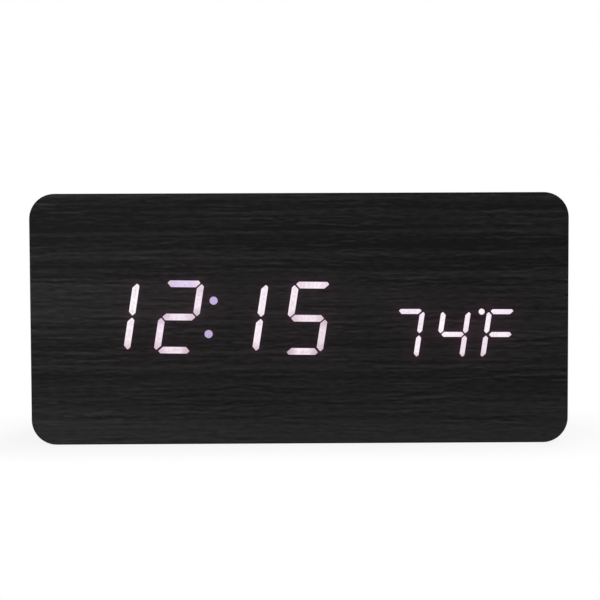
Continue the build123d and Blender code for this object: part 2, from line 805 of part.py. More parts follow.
def least_gap(path, samples=240):
    """The smallest gap between two stretches of the wire that are over half a turn apart along it."""
    points = [path.position_at(index / (samples - 1)) for index in range(samples)]
    apart = 2 * samples // spring_quarter_count
    pairs = ((a, b) for a in range(samples) for b in range(a + apart, samples))
    return min((points[a] - points[b]).length for a, b in pairs) - spring_wire


def make_springs():
    """A tapering spring at the flat end of each cell."""
    springs = []
    for way, z in zip(cell_ways, cell_zs):
        base_x = end_wall(-way) + way * contact_thickness
        path = spring_path(base_x, way, z)
        section = Plane(path.position_at(0), z_dir=path.tangent_at(0)) * Circle(spring_wire / 2)
        springs.append(sweep(section, path))
    print("spring: least gap between turns %.2f mm" % least_gap(path))
    keep("battery_springs", *springs)


def make_door():
    """The battery door: two hooks under the cover at one end, a sprung latch with a grip at the other."""
    x = (doorway_x[0] - door_ledge + door_clearance, doorway_x[1] - door_clearance)
    z = (doorway_z[0] - door_ledge + door_clearance, doorway_z[1] + door_ledge - door_clearance)
    inner_y = cover_outer_y - door_thickness
    door = block(x, (inner_y, cover_outer_y), z)
    door = fillet(door.faces().sort_by(Axis.Y)[-1].edges(), door_edge_round)
    hook_y = (cover_inner_y - hook_gap - hook_thickness, cover_inner_y - hook_gap)
    for low, high in zip(cell_zs, cell_zs[1:]):
        hook_z = around((low + high) / 2, hook_width)
        door += block((x[1] - hook_thickness, x[1]), (hook_y[0], inner_y), hook_z)
        door += block((x[1] - hook_thickness, doorway_x[1] + hook_reach), hook_y, hook_z)
    leg_x = (doorway_x[0] + door_clearance, doorway_x[0] + door_clearance + latch_leg_thickness)
    door += block(leg_x, (inner_y - latch_leg_depth, inner_y), around(middle_z, latch_width - latch_slit))
    for side in (-1, 1):
        slit_z = around(middle_z + side * latch_width / 2, latch_slit)
        door -= block((x[0], x[0] + latch_length), (inner_y - latch_leg_depth, cover_outer_y), slit_z)
    groove_z = around(middle_z, latch_width - 2 * latch_slit)
    for index in range(grip_count):
        groove_x = around(x[0] + grip_pitch * (index + 1), grip_width)
        door -= block(groove_x, (cover_outer_y - grip_depth, cover_outer_y), groove_z)
    keep("battery_door", door)


def make_ribbon():
    """The flat cable between the two boards and the sockets that it plugs into."""
    start_z, end_z = middle_z + ribbon_rise / 2, middle_z - ribbon_rise / 2
    start_y, end_y = board_back_y + ribbon_socket_height, control_front_y - ribbon_socket_height
    width = around(control_x, ribbon_socket_width)
    keep("ribbon_sockets",
         block(width, (board_back_y, start_y), around(start_z, ribbon_socket_depth)),
         block(width, (end_y, control_front_y), around(end_z, ribbon_socket_depth)))
    half_y = (start_y + end_y) / 2
    bend = ribbon_bend_share * min((end_y - start_y) / 2, ribbon_rise / 2)
    corners = ((start_y, start_z), (half_y, start_z), (half_y, end_z), (end_y, end_z))
    path = FilletPolyline(*[(control_x, y, z) for y, z in corners], radius=bend)
    plane = Plane((control_x, start_y, start_z), x_dir=(1, 0, 0), z_dir=(0, 1, 0))
    keep("ribbon_cable", sweep(plane * Rectangle(ribbon_width, ribbon_thickness), path))


def make_leads():
    """The two leads from the battery tails to the control board."""
    end_x = control_x + control_width / 2 - lead_inset
    lead_y = floor_front_y - tail_length / 2
    run = control_front_y - lead_y
    for name, (way, z) in zip(("red", "black"), contact_tails()):
        tail_x = box_x[1] - contact_thickness if way > 0 else box_x[0]
        path = FilletPolyline((tail_x, lead_y, z), (end_x, lead_y, z), (end_x, control_front_y, z),
                              radius=2 * lead_bend_share * run)
        section = Plane((tail_x, lead_y, z), z_dir=(-1, 0, 0)) * Circle(lead_diameter / 2)
        keep(f"battery_lead_{name}", sweep(section, path))


make_light_guides()
make_front()
make_display()
make_case()
make_display_board()
make_display_parts()
make_control_board()
make_buttons()
make_rear_cover()
make_battery_box()
make_cells()
make_contacts()
make_springs()
make_door()
make_ribbon()
make_leads()

os.makedirs("parts", exist_ok=True)
for node, solids in parts.items():
    export_step(solids[0] if len(solids) == 1 else Compound(solids), f"parts/{node}.step")
print(len(parts), "sub-parts")
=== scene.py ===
import math

import bmesh
import bpy
import numpy as np
from mathutils import Matrix, Vector


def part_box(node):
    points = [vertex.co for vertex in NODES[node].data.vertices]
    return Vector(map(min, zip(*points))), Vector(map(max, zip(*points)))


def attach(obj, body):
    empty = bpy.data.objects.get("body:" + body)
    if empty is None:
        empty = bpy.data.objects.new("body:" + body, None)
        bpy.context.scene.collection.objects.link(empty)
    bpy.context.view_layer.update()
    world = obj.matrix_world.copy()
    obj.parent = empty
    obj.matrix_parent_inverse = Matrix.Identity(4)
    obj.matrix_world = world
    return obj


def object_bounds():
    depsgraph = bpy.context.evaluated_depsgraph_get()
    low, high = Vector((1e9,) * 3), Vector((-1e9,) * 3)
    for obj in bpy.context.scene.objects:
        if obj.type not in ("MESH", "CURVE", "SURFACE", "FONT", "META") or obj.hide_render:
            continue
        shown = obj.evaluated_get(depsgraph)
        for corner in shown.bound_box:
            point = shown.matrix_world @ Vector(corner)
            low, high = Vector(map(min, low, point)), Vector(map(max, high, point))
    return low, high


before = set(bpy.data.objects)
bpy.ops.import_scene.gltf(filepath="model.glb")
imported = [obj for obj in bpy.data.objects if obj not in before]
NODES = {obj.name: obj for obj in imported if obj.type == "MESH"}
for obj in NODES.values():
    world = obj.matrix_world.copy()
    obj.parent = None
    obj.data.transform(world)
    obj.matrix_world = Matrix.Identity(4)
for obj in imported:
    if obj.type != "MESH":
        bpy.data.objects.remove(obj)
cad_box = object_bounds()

# Desk clock in black wood-grain film, with the time and the temperature shining through its front.
# Lengths are in metres, in the frame of the loaded model: the front faces -Y, and +Z is up.

MM = 0.001
CASE_LOW, CASE_HIGH = cad_box
CASE_MIDDLE = (CASE_LOW + CASE_HIGH) / 2
CASE_HALF = (CASE_HIGH - CASE_LOW) / 2
CORNER_RADIUS = 7.0 * MM

# Camera, fitted to the four corners of the face: angles in degrees, lens and sensor in millimetres
CAMERA_TARGET = Vector((0.08, -22.5, 40.24)) * MM
CAMERA_DISTANCE = 400.0 * MM
CAMERA_AZIMUTH = -0.498
CAMERA_ELEVATION = 2.792
CAMERA_ROLL = -0.231
CAMERA_LENS = 86.2
SENSOR_WIDTH = 36.0

# Studio
WHITE = (1.0, 1.0, 1.0)
STUDIO_GREY = 0.52  # strength of the light from all around
FLOOR_COLOUR = (0.9, 0.9, 0.9)
FLOOR_SIZE = 6.0
FLOOR_DROP = 0.05 * MM
FLOOR_SHADOW_SHARE = 0.15
FLOOR_SHADOW_REACH = 36.0 * MM  # from the case's outline
# Square lamps: place, what they face, width, and power in watts
LAMPS = {
    "key_lamp": ((-0.85, -0.95, 0.3), CASE_MIDDLE, 0.6, 8.0),
    "fill_lamp": ((0.9, -0.7, 0.5), CASE_MIDDLE, 0.8, 2.0),
    "low_lamp": ((-0.16, -0.3, 0.02), (-0.04, 0.0, 0.02), 0.1, 0.22),
    "rear_lamp": ((0.5, 1.0, 0.9), CASE_MIDDLE, 0.7, 8.0),
}

# Black film
FILM_DARK = (0.0017, 0.0014, 0.0015)
FILM_PALE = (0.0165, 0.0153, 0.0159)
FILM_TONES = (0.1, 1.1)  # the grain's tones where the film is darkest and palest
FILM_ROUGHNESS = 0.5
FILM_ROUGHNESS_SPREAD = 0.08
FILM_ROUGHNESS_TONES = (0.1, 1.0)  # the grain's tones where the film is roughest and smoothest
FILM_SPECULAR = 0.08
FILM_EMBOSS = 0.35
FILM_EMBOSS_DEPTH = 0.08 * MM
# Painted shade along the outline of the front face, in place of the shade on a rounded edge: the band's
# width, and how far it darkens the film
EDGE_BAND = 0.5 * MM
EDGE_PAINTED_SHADE = 0.6
# Broad bands of painted light and shade on the front's film: paler at the base as a painted reflection of
# the floor, paler at mid height, and darker near the top. Each band: height, reach and change of tone
FILM_PAINTED_LIGHT_BANDS = (
    (0.0 * MM, 13.5 * MM, 0.5),
    (40.0 * MM, 9.5 * MM, 0.14),
    (58.0 * MM, 14.0 * MM, -0.16),
)

# Grain of the film: size of its features along and across it, and how far they change its tone
GRAIN_TONE = 0.39
BAND_SIZE = (260.0 * MM, 3.4 * MM)
BAND_WEIGHT = 0.75
LINE_SIZE = (170.0 * MM, 1.4 * MM)
LINE_WEIGHT = 0.82
FLECK_SIZE = (2.6 * MM, 0.65 * MM)
FLECK_WEIGHT = 0.85
PATCH_SIZE = (70.0 * MM, 14.0 * MM)
PATCH_WEIGHT = 0.5
SWAY_SIZE = (40.0 * MM, 9.0 * MM)
SWAY_REACH = 0.5 * MM
# Dashes lie where a streaky pattern differs from itself a step further across the grain
SHORT_DASH_SIZE = (4.5 * MM, 0.75 * MM)
SHORT_DASH_WEIGHT = 0.6
LONG_DASH_SIZE = (13.0 * MM, 1.05 * MM)
DASH_STEP = 0.6 * MM
DASH_STEP_WEIGHT = 0.6
# How dashes and their clusters rise: from and to in the pattern, then from and to in tone or share
BRIGHT_DASH = (0.38, 0.5, 0.0, 0.48)
DARK_DASH = (0.26, 0.12, 0.0, 0.32)
CLUSTER_SIZE = (24.0 * MM, 4.0 * MM)
CLUSTER_RISE = (0.38, 0.62, 0.15, 1.0)

# Light of the figures
LIGHT_WHITE = (0.965, 0.865, 0.925)
LIGHT_PINK = (0.840, 0.695, 0.855)
LIGHT_ROSE = (0.840, 0.695, 0.820)
LIGHT_BLUSH = (0.930, 0.810, 0.900)
LIGHT_DIM = (0.740, 0.620, 0.675)
LIGHT_BRIGHT = (1.0, 0.935, 0.965)
LIGHT_LILAC = (0.945, 0.845, 0.975)
LIGHT_VIOLET = (0.710, 0.575, 0.875)
LIGHT_DUSK = (0.640, 0.470, 0.560)  # at the bars' ends and in the flecks
COLON_VIOLET = (0.500, 0.400, 0.670)
UNLIT_BAR = (0.02, 0.018, 0.02)
HALO_COLOUR = (1.0, 0.29, 0.63)
HALO_STRENGTH = 0.0155
HALO_REACH = 1.4 * MM
# Where the light is tinted: place across the face and reach in millimetres, colour, and how uneven it is
TINT_SPOTS = (
    ((-33.8, 35.6), 12.6, LIGHT_PINK, 0.8),
    ((4.6, 30.6), 10.5, LIGHT_ROSE, 0.85),
    ((6.4, 30.0), 4.6, LIGHT_DIM, 0.85),
    ((5.0, 45.5), 6.5, LIGHT_BLUSH, 0.4),
    ((-32.5, 45.4), 3.9, LIGHT_VIOLET, 0.25),
    ((31.0, 37.5), 6.0, LIGHT_LILAC, 0.0),
    ((57.0, 37.5), 6.0, LIGHT_LILAC, 0.0),
    ((48.0, 26.0), 6.5, LIGHT_ROSE, 0.3),
    ((-46.0, 41.5), 6.5, LIGHT_BRIGHT, 0.0),
    ((39.7, 33.8), 4.5, LIGHT_BRIGHT, 0.0),
)
TINT_CORE = 0.75  # share of a spot's reach that has its full tint
LED_SHARE = 0.3  # of a bar's middle line, right over its LED
LED_WHITENING = 0.65
# Glow of the LED or of the whole bar where each of these starts and where it is full
WHITENED_GLOW = (0.3, 0.62)
DULL_END_GLOW = (0.5, 0.15)
FLECKED_GLOW = (0.62, 0.9)
FLECK_NOISE = (0.42, 0.7)  # where a fleck starts and where it is full
UPPER_DULLNESS = 0.1  # of the bars' ends at half of the case's height, with 1 at the figures' feet
TIME_MOTTLE = 0.6  # how dull the flecks along the bars' middles are
TEMPERATURE_MOTTLE = 0.3

# Colours of the back and of what is inside
COVER_BLACK = (0.013, 0.013, 0.0135)
BUTTON_BLACK = (0.014, 0.014, 0.0145)
CHIP_BLACK = (0.016, 0.016, 0.017)
PLASTIC_WHITE = (0.78, 0.78, 0.76)
MARK_GREY = (0.55, 0.55, 0.54)
MARK_THIN_GREY = (0.4, 0.4, 0.39)
FIBRE_DARK = (0.008, 0.007, 0.006)
FIBRE_PALE = (0.040, 0.034, 0.029)
FIBRE_FLECK = (0.055, 0.046, 0.038)
SCREW_BLACK = (0.09, 0.088, 0.086)
STEEL = (0.66, 0.65, 0.62)
GILT = (0.83, 0.6, 0.24)
TIN = (0.7, 0.69, 0.66)
MASK_GREEN = (0.006, 0.055, 0.024)
MASK_OVER_COPPER = (0.012, 0.09, 0.04)
PAD_TIN = (0.55, 0.53, 0.48)
# Painted shade in the grooves between the ribbon's grey strands
STRAND_GROOVE_SHADE = (0.12, 0.12, 0.125)
STRAND_GREY = (0.36, 0.36, 0.37)
STRAND_RED = (0.42, 0.02, 0.02)
LEAD_RED = (0.45, 0.012, 0.012)
LEAD_BLACK = (0.014, 0.014, 0.014)
SENSOR_BLACK = (0.02, 0.02, 0.022)
CELL_DARK_BLUE = (0.012, 0.045, 0.16)
CELL_BLUE = (0.018, 0.06, 0.2)
CELL_BAND_GREY = (0.52, 0.53, 0.55)
CELL_LINE_WHITE = (0.8, 0.8, 0.8)
CELL_MARK_BLACK = (0.02, 0.02, 0.025)
CELL_METAL = (0.6, 0.6, 0.59)
CAPACITOR_BLACK = (0.014, 0.014, 0.018)
CAPACITOR_GREY = (0.4, 0.4, 0.42)
CAPACITOR_METAL = (0.7, 0.7, 0.7)
LED_WHITE = (0.75, 0.74, 0.7)
LED_YELLOW = (0.8, 0.62, 0.14)

# Textures, prints and paint on the CAD nodes
NOISE_RANGE = (0.3, 0.7)  # most of a noise's values
NOISE_MIDDLE = 0.5
FACING = 0.9  # how far a normal points one way, to count as facing it
CLOUD_SHARE = 0.5  # of a plastic's tone; the rest is its spark texture
ROUGHNESS_SPREAD = 0.1
SCRATCH_STRETCH = 0.08
SCRATCH_ROUGHNESS = 0.12
TARNISH = 0.85  # brightness of a metal's dull patches
INSULATION_SHADE = 0.75  # brightness of its darkest places
FIBRE_FLECK_SIZE = 0.25
FIBRE_FLECK_SHARE = 0.5
TRACK_EDGE = (0.34, 0.4)  # cell distances where a track starts and is full
PAD_EDGE = (0.13, 0.1)
STRAND_PITCH = 1.27 * MM  # of the ribbon cable
STRAND_CONTRAST = 0.4
CAPACITOR_TOP = 0.3 * MM
CAPACITOR_STRIPE = 1.0 * MM
BUTTON_MARK_DEPTHS = (0.36 * MM, 0.2 * MM)  # the floor of the sunken mark lies between these

# Cells. The tip, band, line and mark are told by their distance from the raised end.
CELL_PITCH = 11.0 * MM
CELL_LENGTH = 44.5 * MM
CELL_TIP = 1.7 * MM
CELL_BAND_END = 10.5 * MM
CELL_LINE_END = 11.3 * MM
CELL_FOOT = 0.7 * MM  # bare metal at the flat end
CELL_MARK_DEPTH = 6.2 * MM
CELL_MARK_HALF = 1.7 * MM
CELL_MARK_STROKE = 0.8 * MM

# Marks on the back
ROUNDING_SEGMENTS = 2
MARK_HEIGHT = 0.2 * MM
MARK_ROUND = 0.05 * MM
ARROW_LENGTH = 4.4 * MM
ARROW_HEAD = 2.0 * MM
ARROW_WIDTH = 3.6 * MM
ARROW_SHAFT = 1.3 * MM
ARROW_GAP = 1.6 * MM  # from the end of the latch
LATCH_LENGTH = 9.0 * MM
SUPPLY_MARK_DROP = 4.6 * MM  # from the socket's middle to the mark's upper line
SUPPLY_MARK_WIDTH = 5.0 * MM
SUPPLY_MARK_STROKE = 0.5 * MM
SUPPLY_MARK_STEP = 1.1 * MM
SUPPLY_DASH = 1.2 * MM

# Ribs inside the battery door, between the rows of cells
RIB_THICKNESS = 1.0 * MM
RIB_HEIGHT = 1.1 * MM
RIB_MARGIN = 5.0 * MM
DOOR_THICKNESS = 2.5 * MM

# Contact strips on the socket's tongue
STRIP_COUNT = 5
STRIP_PITCH = 0.65 * MM
STRIP_WIDTH = 0.38 * MM
STRIP_THICKNESS = 0.08 * MM
STRIP_SETBACK = 0.25 * MM
STRIP_LENGTH = 3.2 * MM
STRIP_ROUND = STRIP_THICKNESS / 4
TONGUE_THICKNESS = 0.65 * MM

# Leads of the chips: how far the bends of each lead lie from the chip's side
LEAD_THICKNESS = 0.15 * MM
LEAD_SHOULDER = 0.35 * MM
LEAD_ANKLE = 0.65 * MM
LEAD_REACH = 1.25 * MM
LEAD_ROOT = 0.1 * MM  # inside the chip
LEAD_ROUND = LEAD_THICKNESS / 5
CLOCK_CHIP_LEADS = 11  # on each of its four sides
CLOCK_CHIP_PITCH = 0.8 * MM
CLOCK_CHIP_LEAD_WIDTH = 0.35 * MM
DRIVER_CHIP_LEADS = 10  # on each of its two long sides
DRIVER_CHIP_PITCH = 1.27 * MM
DRIVER_CHIP_LEAD_WIDTH = 0.42 * MM
DRIVER_CHIP_WIDTH = 13.0 * MM

FLOAT = "NodeSocketFloat"
VECTOR = "NodeSocketVector"


class Shader:
    """A node tree. Its calls add a node and give back an output to feed on."""

    def __init__(self, tree):
        self.tree = tree

    def add(self, kind, inputs=(), **settings):
        node = self.tree.nodes.new(kind)
        for name, value in settings.items():
            setattr(node, name, value)
        for key, value in dict(inputs).items():
            self.feed(node.inputs[key], value)
        return node

    def feed(self, socket, value):
        if isinstance(value, bpy.types.NodeSocket):
            self.tree.links.new(value, socket)
        elif socket.type == "RGBA" and len(value) == 3:
            socket.default_value = (*value, 1.0)
        else:
            socket.default_value = value

    def group(self, tree, inputs):
        return self.add("ShaderNodeGroup", inputs, node_tree=tree).outputs[0]

    def math(self, operation, *values):
        return self.add("ShaderNodeMath", enumerate(values), operation=operation).outputs[0]

    def vector(self, operation, *values):
        node = self.add("ShaderNodeVectorMath", enumerate(values), operation=operation)
        return node.outputs["Value" if operation in ("DOT_PRODUCT", "LENGTH", "DISTANCE") else "Vector"]

    def scaled(self, vector, factor):
        inputs = {"Vector": vector, "Scale": factor}
        return self.add("ShaderNodeVectorMath", inputs, operation="SCALE").outputs["Vector"]

    def place(self):
        """Where the surface is, in its piece's own frame."""
        return self.add("ShaderNodeTexCoord").outputs["Object"]

    def normal(self):
        return self.add("ShaderNodeNewGeometry").outputs["Normal"]

    def split(self, vector):
        return self.add("ShaderNodeSeparateXYZ", {0: vector}).outputs

    def join(self, x=0.0, y=0.0, z=0.0):
        return self.add("ShaderNodeCombineXYZ", {0: x, 1: y, 2: z}).outputs[0]

    def noise(self, vector, scale=1.0, detail=2.0, roughness=0.5):
        inputs = {"Vector": vector, "Scale": scale, "Detail": detail, "Roughness": roughness}
        return self.add("ShaderNodeTexNoise", inputs).outputs["Fac"]

    def cells(self, vector, scale, **settings):
        inputs = {"Vector": vector, "Scale": scale}
        return self.add("ShaderNodeTexVoronoi", inputs, **settings).outputs["Distance"]

    def span(self, value, low, high, to_low=0.0, to_high=1.0, smooth=False):
        """Maps the range from low to high to another one, and holds the ends."""
        inputs = {"Value": value, "From Min": low, "From Max": high, "To Min": to_low, "To Max": to_high}
        kind = "SMOOTHSTEP" if smooth else "LINEAR"
        return self.add("ShaderNodeMapRange", inputs, interpolation_type=kind).outputs[0]

    def spread(self, noise, to_low=0.0, to_high=1.0):
        """Maps the usual range of a noise to another one."""
        return self.span(noise, *NOISE_RANGE, to_low, to_high)

    def mix(self, share, first, second):
        return self.add("ShaderNodeMix", {0: share, 6: first, 7: second}, data_type="RGBA").outputs[2]

    def bump(self, height, strength, distance):
        inputs = {"Height": height, "Strength": strength, "Distance": distance}
        return self.add("ShaderNodeBump", inputs).outputs[0]

    def between(self, value, low, high):
        above = self.math("GREATER_THAN", value, low)
        return self.math("MULTIPLY", above, self.math("LESS_THAN", value, high))

    def outside(self, past_first, past_second):
        """The distance from a rectangle, from how far a place lies past its sides along both axes."""
        first = self.math("MAXIMUM", past_first, 0.0)
        second = self.math("MAXIMUM", past_second, 0.0)
        return self.vector("LENGTH", self.join(first, second))


def empty_shader(owner):
    """The shader of a new material or world, with nothing in it yet."""
    owner.use_nodes = True
    owner.node_tree.nodes.clear()
    return Shader(owner.node_tree)


def new_material(name, paint):
    """A material with one Principled shader, whose inputs are what paint gives back."""
    material = bpy.data.materials.new(name)
    shader = empty_shader(material)
    surface = shader.add("ShaderNodeBsdfPrincipled", paint(shader))
    shader.add("ShaderNodeOutputMaterial", {"Surface": surface.outputs[0]})
    return material


def shaded(colour, factor):
    """A colour made darker or brighter."""
    return tuple(factor * part for part in colour)


def new_group(name, inputs, output):
    """A node group with one float output: its tree, its shader and its inputs."""
    tree = bpy.data.node_groups.new(name, "ShaderNodeTree")
    for label, kind in inputs.items():
        tree.interface.new_socket(label, in_out="INPUT", socket_type=kind)
    tree.interface.new_socket(output, in_out="OUTPUT", socket_type=FLOAT)
    shader = Shader(tree)
    return tree, shader, shader.add("NodeGroupInput").outputs


# Black wood-grain film

def grain_group():
    """The printed and embossed grain: how pale it is, from lengths along the grain and across it."""
    tree, shader, given = new_group("wood_grain", {"Along": FLOAT, "Across": FLOAT}, "Tone")
    along, across = given["Along"], given["Across"]

    def streaks(size, height):
        """Noise in streaks of a size along and across the grain, at a height across it."""
        length, width = size
        place = shader.join(shader.math("DIVIDE", along, length), shader.math("DIVIDE", height, width))
        return shader.noise(place, detail=1.0)

    def dashes(height):
        return shader.math("MULTIPLY_ADD", streaks(SHORT_DASH_SIZE, height), SHORT_DASH_WEIGHT,
                           streaks(LONG_DASH_SIZE, height))

    swayed = shader.math("MULTIPLY_ADD", streaks(SWAY_SIZE, across), SWAY_REACH, across)
    beside = shader.math("MULTIPLY", dashes(shader.math("ADD", swayed, DASH_STEP)), DASH_STEP_WEIGHT)
    step = shader.math("SUBTRACT", dashes(swayed), beside)
    bright = shader.span(step, *BRIGHT_DASH)
    dark = shader.span(step, *DARK_DASH)
    cluster = shader.span(streaks(CLUSTER_SIZE, across), *CLUSTER_RISE)
    tone = shader.math("MULTIPLY_ADD", shader.math("SUBTRACT", bright, dark), cluster, GRAIN_TONE)
    for size, height, weight in (
        (BAND_SIZE, swayed, BAND_WEIGHT),
        (LINE_SIZE, swayed, LINE_WEIGHT),
        (FLECK_SIZE, across, FLECK_WEIGHT),
        (PATCH_SIZE, across, PATCH_WEIGHT),
    ):
        change = shader.math("SUBTRACT", streaks(size, height), NOISE_MIDDLE)
        tone = shader.math("MULTIPLY_ADD", change, weight, tone)
    shader.add("NodeGroupOutput", {"Tone": tone})
    return tree


GRAIN = grain_group()


def grain_tone(shader, along, across):
    """How pale the grain is."""
    return shader.group(GRAIN, {"Along": along, "Across": across})


def film(shader, tone):
    """The film's look for a tone of its grain."""
    return {
        "Base Color": shader.mix(shader.span(tone, *FILM_TONES), FILM_DARK, FILM_PALE),
        "Roughness": shader.span(tone, *FILM_ROUGHNESS_TONES, FILM_ROUGHNESS + FILM_ROUGHNESS_SPREAD,
                                 FILM_ROUGHNESS - FILM_ROUGHNESS_SPREAD),
        "Specular IOR Level": FILM_SPECULAR,
        "Normal": shader.bump(tone, FILM_EMBOSS, FILM_EMBOSS_DEPTH),
    }


def corner_place(shader, x, z):
    """How far a place lies past the straight edges' ends, towards the side and up or down."""
    past_x = shader.math("SUBTRACT", shader.math("ABSOLUTE", x), CASE_HALF.x - CORNER_RADIUS)
    from_middle = shader.math("SUBTRACT", z, CASE_MIDDLE.z)
    past_z = shader.math("SUBTRACT", shader.math("ABSOLUTE", from_middle), CASE_HALF.z - CORNER_RADIUS)
    return past_x, past_z


def edge_shade_share(shader, x, z):
    """The share of painted shade along the front face's outline: 1 at the outline, falling to 0 inside it.
    """
    past_x, past_z = corner_place(shader, x, z)
    outside = shader.outside(past_x, past_z)
    inside = shader.math("MINIMUM", shader.math("MAXIMUM", past_x, past_z), 0.0)
    distance = shader.math("SUBTRACT", shader.math("ADD", outside, inside), CORNER_RADIUS)
    return shader.span(distance, -EDGE_BAND, 0.0)


# Light of the figures

def front_faces(name):
    """The front corners of each bar in a node, as an array of X and Z."""
    mesh = NODES[name].data
    group = {}

    def root(index):
        while group[index] != index:
            index = group[index]
        return index

    for face in mesh.polygons:
        if face.normal.y > -FACING:
            continue
        for index in face.vertices:
            group.setdefault(index, index)
        first = root(face.vertices[0])
        for index in face.vertices[1:]:
            group[root(index)] = first
    bars = {}
    for index in group:
        point = mesh.vertices[index].co
        bars.setdefault(root(index), []).append((point.x, point.z))
    return [np.array(points) for points in bars.values()]


def bar_lines(name):
    """The middle line of each bar in a node: its centre, its direction and half of its length."""
    lines = []
    for points in front_faces(name):
        centre = (points.min(0) + points.max(0)) / 2
        across, along = np.linalg.eigh(np.cov((points - points.mean(0)).T))[1].T
        reach = np.ptp(points @ along) / 2
        width = np.ptp(points @ across) / 2
        lines.append((centre, along, max(reach - width, 0.0)))
    return lines


TIME_LINES = bar_lines("time_light_guides_lit")
COLON_LINES = bar_lines("colon_light_guides")
TEMPERATURE_LINES = bar_lines("temperature_light_guides_lit")


def halo_group():
    """How strongly one bar's light shows at a place of the front face."""
    inputs = {"Place": VECTOR, "Centre": VECTOR, "Way": VECTOR, "Half": FLOAT}
    tree, shader, given = new_group("bar_halo", inputs, "Halo")
    offset = shader.vector("SUBTRACT", given["Place"], given["Centre"])
    along = shader.vector("DOT_PRODUCT", offset, given["Way"])
    low = shader.math("MULTIPLY", given["Half"], -1.0)
    held = shader.math("MINIMUM", shader.math("MAXIMUM", along, low), given["Half"])
    nearest = shader.scaled(given["Way"], held)
    distance = shader.vector("DISTANCE", offset, nearest)
    halo = shader.math("EXPONENT", shader.math("DIVIDE", distance, -HALO_REACH))
    shader.add("NodeGroupOutput", {"Halo": halo})
    return tree


HALO = halo_group()


def halo_strength(shader, x, z, lines, length_share=1.0):
    """The light that spreads from the middle lines of some bars, or from a part of each line."""
    place = shader.join(x, 0.0, z)
    total = None
    for centre, way, half in lines:
        halo = shader.group(HALO, {
            "Place": place,
            "Centre": (centre[0], 0.0, centre[1]),
            "Way": (way[0], 0.0, way[1]),
            "Half": half * length_share,
        })
        total = halo if total is None else shader.math("ADD", total, halo)
    return total


def front_film(shader):
    """The film on the front, with the grain along X, broad bands of painted light and shade, painted shade
    along its outline, and a faint glow around the lit bars.
    """
    x, _, z = shader.split(shader.place())
    tone = grain_tone(shader, x, z)
    # Painted light and shade in broad bands across the front's height
    for height, reach, change in FILM_PAINTED_LIGHT_BANDS:
        distance = shader.math("ABSOLUTE", shader.math("SUBTRACT", z, height))
        tone = shader.math("ADD", tone, shader.span(distance, 0.0, reach, change, 0.0, smooth=True))
    look = film(shader, tone)
    # Painted shade along the outline of the front face
    edge = shader.math("MULTIPLY", edge_shade_share(shader, x, z), EDGE_PAINTED_SHADE)
    look["Base Color"] = shader.mix(edge, look["Base Color"], FILM_DARK)
    look["Emission Color"] = HALO_COLOUR
    halo = halo_strength(shader, x, z, TIME_LINES + COLON_LINES + TEMPERATURE_LINES)
    look["Emission Strength"] = shader.math("MULTIPLY", halo, HALO_STRENGTH)
    return look


def wrap_length(shader, x, z):
    """The length around the case from the middle of the top. It jumps at the seam, under the base."""
    straight_x = CASE_HALF.x - CORNER_RADIUS
    straight_z = CASE_HALF.z - CORNER_RADIUS
    quarter = CORNER_RADIUS * math.pi / 2
    past_x, past_z = corner_place(shader, x, z)
    side = shader.math("MAXIMUM", past_x, 0.0)
    rise = shader.math("MAXIMUM", past_z, 0.0)
    upper = shader.math("GREATER_THAN", z, CASE_MIDDLE.z)
    run = shader.math("MINIMUM", shader.math("ABSOLUTE", x), straight_x)
    bend = shader.math("MULTIPLY", shader.math("ARCTAN2", side, rise), CORNER_RADIUS)
    fall = shader.math("MAXIMUM", shader.math("MULTIPLY", past_z, -1.0), 0.0)
    to_side = shader.math("ADD", shader.math("ADD", run, bend), fall)
    whole = 2 * (straight_x + straight_z + quarter)
    length = shader.math("SUBTRACT", whole, to_side)
    chosen = shader.math("ADD", shader.math("MULTIPLY", upper, to_side),
                         shader.math("MULTIPLY", shader.math("SUBTRACT", 1.0, upper), length))
    return shader.math("MULTIPLY", chosen, shader.math("SIGN", x))


def wrap_film(shader):
    """The film around the top, sides and base, with the grain running round the case."""
    x, y, z = shader.split(shader.place())
    return film(shader, grain_tone(shader, wrap_length(shader, x, z), y))


def lit_light(shader, colour):
    """A glowing bar: mostly its own light, with the film's grain faintly over it."""
    x, _, z = shader.split(shader.place())
    place = shader.join(x, 0.0, z)
    grain = shader.span(grain_tone(shader, x, z), 0.0, 1.0, to_low=1.02, to_high=0.95)
    broad = shader.span(shader.noise(place, scale=320.0, detail=1.0), 0.35, 0.65, to_low=0.95, to_high=1.04)
    fine = shader.spread(shader.noise(place, scale=1500.0, detail=1.0), to_low=0.95, to_high=1.05)
    return {
        "Base Color": UNLIT_BAR,
        "Roughness": FILM_ROUGHNESS,
        "Specular IOR Level": FILM_SPECULAR,
        "Emission Color": colour,
        "Emission Strength": shader.math("MULTIPLY", grain, shader.math("MULTIPLY", broad, fine)),
    }


